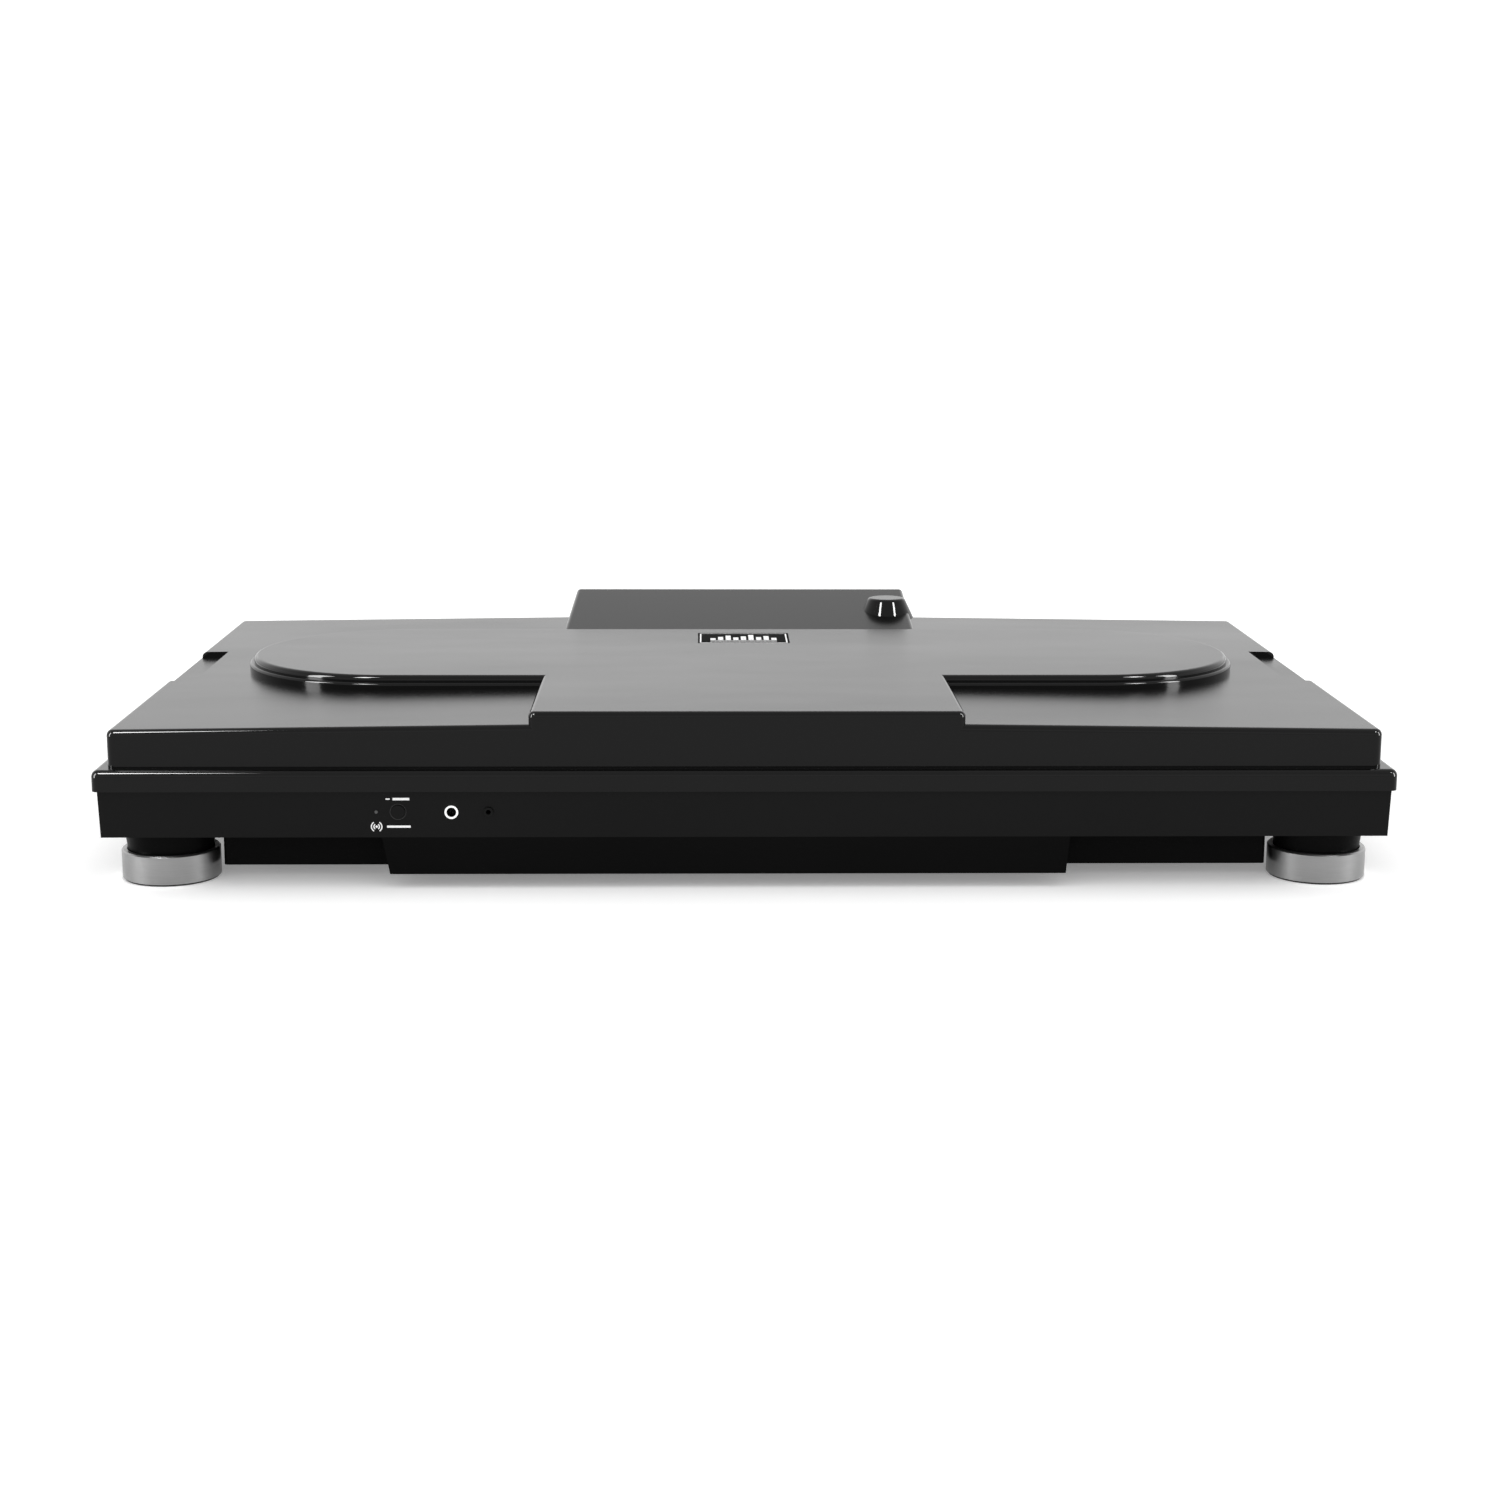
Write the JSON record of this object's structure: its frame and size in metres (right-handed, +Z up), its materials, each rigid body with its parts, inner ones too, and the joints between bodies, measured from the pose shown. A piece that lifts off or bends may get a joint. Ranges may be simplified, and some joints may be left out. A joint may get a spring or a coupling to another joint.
{
  "type": "two-deck dj console with dust cover",
  "caption": "Wide two-deck DJ console on metal-ringed feet, with a mixer, screen and jog wheels under a rigid gloss dust cover that lifts off.",
  "frame": {"origin": "on the ground at the centre of the footprint", "axes": "+X to the player's right, -Y the front with the headphone sockets, +Z up"},
  "size_m": [0.942, 0.5556, 0.146],
  "materials": {
    "cover_sheet": "polished",
    "badge": "satin",
    "case_plastic": "satin",
    "panel_plastic": "satin",
    "pan_paint": "matte",
    "zinc_steel": "plain",
    "supply_case": "plain",
    "machined_steel": "machined",
    "brushed_aluminium": "brushed",
    "black_rubber": "matte",
    "screen_glass": "polished",
    "display": "satin",
    "pad_silicone": "matte",
    "socket_metal": "polished",
    "light_lens": "clear",
    "control_plastic": "satin",
    "button_plastic": "satin",
    "knob_rubber": "matte",
    "jog_metal": "anodised",
    "board": "solder resist"
  },
  "bodies": {
    "console": {"lower_case": "case_plastic", "top_panel": "panel_plastic", "base_pan": "pan_paint", "centre_bay": "case_plastic", "case_screws": "zinc_steel", "foot_necks": "case_plastic", "foot_rings": "brushed_aluminium", "foot_soles": "black_rubber", "jog_bearings": "machined_steel", "screen_housing": "case_plastic", "screen_glass": "screen_glass", "display_module": "display", "fader_tracks": "zinc_steel", "pad_mats": "pad_silicone", "phones_jack_large": "socket_metal", "phones_jack_small": "socket_metal", "pairing_light": "light_lens", "rear_jack_plate": "case_plastic", "phono_sockets": "socket_metal", "power_inlet": "control_plastic", "main_board": "board", "mixer_board": "board", "power_supply": "supply_case"},
    "cover": {"dust_cover": "cover_sheet", "cover_badge": "badge"},
    "left_jog": {"left_jog_wheel": "control_plastic", "left_jog_plate": "jog_metal"},
    "right_jog": {"right_jog_wheel": "control_plastic", "right_jog_plate": "jog_metal"},
    "trim_knob_one": {"trim_knob_one": "knob_rubber"},
    "high_knob_one": {"high_knob_one": "knob_rubber"},
    "mid_knob_one": {"mid_knob_one": "knob_rubber"},
    "low_knob_one": {"low_knob_one": "knob_rubber"},
    "trim_knob_two": {"trim_knob_two": "knob_rubber"},
    "high_knob_two": {"high_knob_two": "knob_rubber"},
    "mid_knob_two": {"mid_knob_two": "knob_rubber"},
    "low_knob_two": {"low_knob_two": "knob_rubber"},
    "trim_knob_three": {"trim_knob_three": "knob_rubber"},
    "high_knob_three": {"high_knob_three": "knob_rubber"},
    "mid_knob_three": {"mid_knob_three": "knob_rubber"},
    "low_knob_three": {"low_knob_three": "knob_rubber"},
    "trim_knob_four": {"trim_knob_four": "knob_rubber"},
    "high_knob_four": {"high_knob_four": "knob_rubber"},
    "mid_knob_four": {"mid_knob_four": "knob_rubber"},
    "low_knob_four": {"low_knob_four": "knob_rubber"},
    "master_level_knob": {"master_level_knob": "knob_rubber"},
    "browse_knob": {"browse_knob": "knob_rubber"},
    "channel_fader_one": {"channel_fader_one": "control_plastic"},
    "channel_fader_two": {"channel_fader_two": "control_plastic"},
    "channel_fader_three": {"channel_fader_three": "control_plastic"},
    "channel_fader_four": {"channel_fader_four": "control_plastic"},
    "crossfader": {"crossfader": "control_plastic"},
    "left_tempo_fader": {"left_tempo_fader": "control_plastic"},
    "right_tempo_fader": {"right_tempo_fader": "control_plastic"},
    "left_cue_button": {"left_cue_button": "button_plastic"},
    "left_play_button": {"left_play_button": "button_plastic"},
    "right_cue_button": {"right_cue_button": "button_plastic"},
    "right_play_button": {"right_play_button": "button_plastic"},
    "pairing_button": {"pairing_button": "button_plastic"},
    "power_button": {"power_button": "button_plastic"}
  },
  "joints": [
    {"name": "cover_lift", "type": "slide", "parent": "console", "child": "cover", "axis": [0, 0, 1], "range_m": [0, 0.25]},
    {"name": "left_jog_turn", "type": "hinge", "parent": "console", "child": "left_jog", "pos_m": [-0.2795, 0.0085, 0.088], "axis": [0, 0, 1], "continuous": true},
    {"name": "right_jog_turn", "type": "hinge", "parent": "console", "child": "right_jog", "pos_m": [0.2795, 0.0085, 0.088], "axis": [0, 0, 1], "continuous": true},
    {"name": "trim_knob_one_turn", "type": "hinge", "parent": "console", "child": "trim_knob_one", "pos_m": [-0.09, 0.104, 0.087], "axis": [0, 0, -1], "range_deg": [-150, 150]},
    {"name": "high_knob_one_turn", "type": "hinge", "parent": "console", "child": "high_knob_one", "pos_m": [-0.09, 0.075, 0.087], "axis": [0, 0, -1], "range_deg": [-150, 150]},
    {"name": "mid_knob_one_turn", "type": "hinge", "parent": "console", "child": "mid_knob_one", "pos_m": [-0.09, 0.046, 0.087], "axis": [0, 0, -1], "range_deg": [-150, 150]},
    {"name": "low_knob_one_turn", "type": "hinge", "parent": "console", "child": "low_knob_one", "pos_m": [-0.09, 0.017, 0.087], "axis": [0, 0, -1], "range_deg": [-150, 150]},
    {"name": "trim_knob_two_turn", "type": "hinge", "parent": "console", "child": "trim_knob_two", "pos_m": [-0.03, 0.104, 0.087], "axis": [0, 0, -1], "range_deg": [-150, 150]},
    {"name": "high_knob_two_turn", "type": "hinge", "parent": "console", "child": "high_knob_two", "pos_m": [-0.03, 0.075, 0.087], "axis": [0, 0, -1], "range_deg": [-150, 150]},
    {"name": "mid_knob_two_turn", "type": "hinge", "parent": "console", "child": "mid_knob_two", "pos_m": [-0.03, 0.046, 0.087], "axis": [0, 0, -1], "range_deg": [-150, 150]},
    {"name": "low_knob_two_turn", "type": "hinge", "parent": "console", "child": "low_knob_two", "pos_m": [-0.03, 0.017, 0.087], "axis": [0, 0, -1], "range_deg": [-150, 150]},
    {"name": "trim_knob_three_turn", "type": "hinge", "parent": "console", "child": "trim_knob_three", "pos_m": [0.03, 0.104, 0.087], "axis": [0, 0, -1], "range_deg": [-150, 150]},
    {"name": "high_knob_three_turn", "type": "hinge", "parent": "console", "child": "high_knob_three", "pos_m": [0.03, 0.075, 0.087], "axis": [0, 0, -1], "range_deg": [-150, 150]},
    {"name": "mid_knob_three_turn", "type": "hinge", "parent": "console", "child": "mid_knob_three", "pos_m": [0.03, 0.046, 0.087], "axis": [0, 0, -1], "range_deg": [-150, 150]},
    {"name": "low_knob_three_turn", "type": "hinge", "parent": "console", "child": "low_knob_three", "pos_m": [0.03, 0.017, 0.087], "axis": [0, 0, -1], "range_deg": [-150, 150]},
    {"name": "trim_knob_four_turn", "type": "hinge", "parent": "console", "child": "trim_knob_four", "pos_m": [0.09, 0.104, 0.087], "axis": [0, 0, -1], "range_deg": [-150, 150]},
    {"name": "high_knob_four_turn", "type": "hinge", "parent": "console", "child": "high_knob_four", "pos_m": [0.09, 0.075, 0.087], "axis": [0, 0, -1], "range_deg": [-150, 150]},
    {"name": "mid_knob_four_turn", "type": "hinge", "parent": "console", "child": "mid_knob_four", "pos_m": [0.09, 0.046, 0.087], "axis": [0, 0, -1], "range_deg": [-150, 150]},
    {"name": "low_knob_four_turn", "type": "hinge", "parent": "console", "child": "low_knob_four", "pos_m": [0.09, 0.017, 0.087], "axis": [0, 0, -1], "range_deg": [-150, 150]},
    {"name": "master_level_knob_turn", "type": "hinge", "parent": "console", "child": "master_level_knob", "pos_m": [0.135, 0.104, 0.087], "axis": [0, 0, -1], "range_deg": [-150, 150]},
    {"name": "browse_knob_turn", "type": "hinge", "parent": "console", "child": "browse_knob", "pos_m": [0.135, 0.218, 0.1306], "axis": [0, 0, -1], "continuous": true},
    {"name": "channel_fader_one_slide", "type": "slide", "parent": "console", "child": "channel_fader_one", "axis": [0, 1, 0], "range_m": [-0.03, 0.03]},
    {"name": "channel_fader_two_slide", "type": "slide", "parent": "console", "child": "channel_fader_two", "axis": [0, 1, 0], "range_m": [-0.03, 0.03]},
    {"name": "channel_fader_three_slide", "type": "slide", "parent": "console", "child": "channel_fader_three", "axis": [0, 1, 0], "range_m": [-0.03, 0.03]},
    {"name": "channel_fader_four_slide", "type": "slide", "parent": "console", "child": "channel_fader_four", "axis": [0, 1, 0], "range_m": [-0.03, 0.03]},
    {"name": "crossfader_slide", "type": "slide", "parent": "console", "child": "crossfader", "axis": [1, 0, 0], "range_m": [-0.0225, 0.0225]},
    {"name": "left_tempo_fader_slide", "type": "slide", "parent": "console", "child": "left_tempo_fader", "axis": [0, 1, 0], "range_m": [-0.05, 0.05]},
    {"name": "right_tempo_fader_slide", "type": "slide", "parent": "console", "child": "right_tempo_fader", "axis": [0, 1, 0], "range_m": [-0.05, 0.05]},
    {"name": "left_cue_button_slide", "type": "slide", "parent": "console", "child": "left_cue_button", "axis": [0, 0, -1], "range_m": [0, 0.0015], "stiffness_N_per_m": 600, "springref_m": -0.0015},
    {"name": "left_play_button_slide", "type": "slide", "parent": "console", "child": "left_play_button", "axis": [0, 0, -1], "range_m": [0, 0.0015], "stiffness_N_per_m": 600, "springref_m": -0.0015},
    {"name": "right_cue_button_slide", "type": "slide", "parent": "console", "child": "right_cue_button", "axis": [0, 0, -1], "range_m": [0, 0.0015], "stiffness_N_per_m": 600, "springref_m": -0.0015},
    {"name": "right_play_button_slide", "type": "slide", "parent": "console", "child": "right_play_button", "axis": [0, 0, -1], "range_m": [0, 0.0015], "stiffness_N_per_m": 600, "springref_m": -0.0015},
    {"name": "pairing_button_slide", "type": "slide", "parent": "console", "child": "pairing_button", "axis": [0, 1, 0], "range_m": [0, 0.0007], "stiffness_N_per_m": 500, "springref_m": -0.001},
    {"name": "power_button_slide", "type": "slide", "parent": "console", "child": "power_button", "axis": [0, -1, 0], "range_m": [0, 0.003], "stiffness_N_per_m": 400, "springref_m": -0.002}
  ]
}
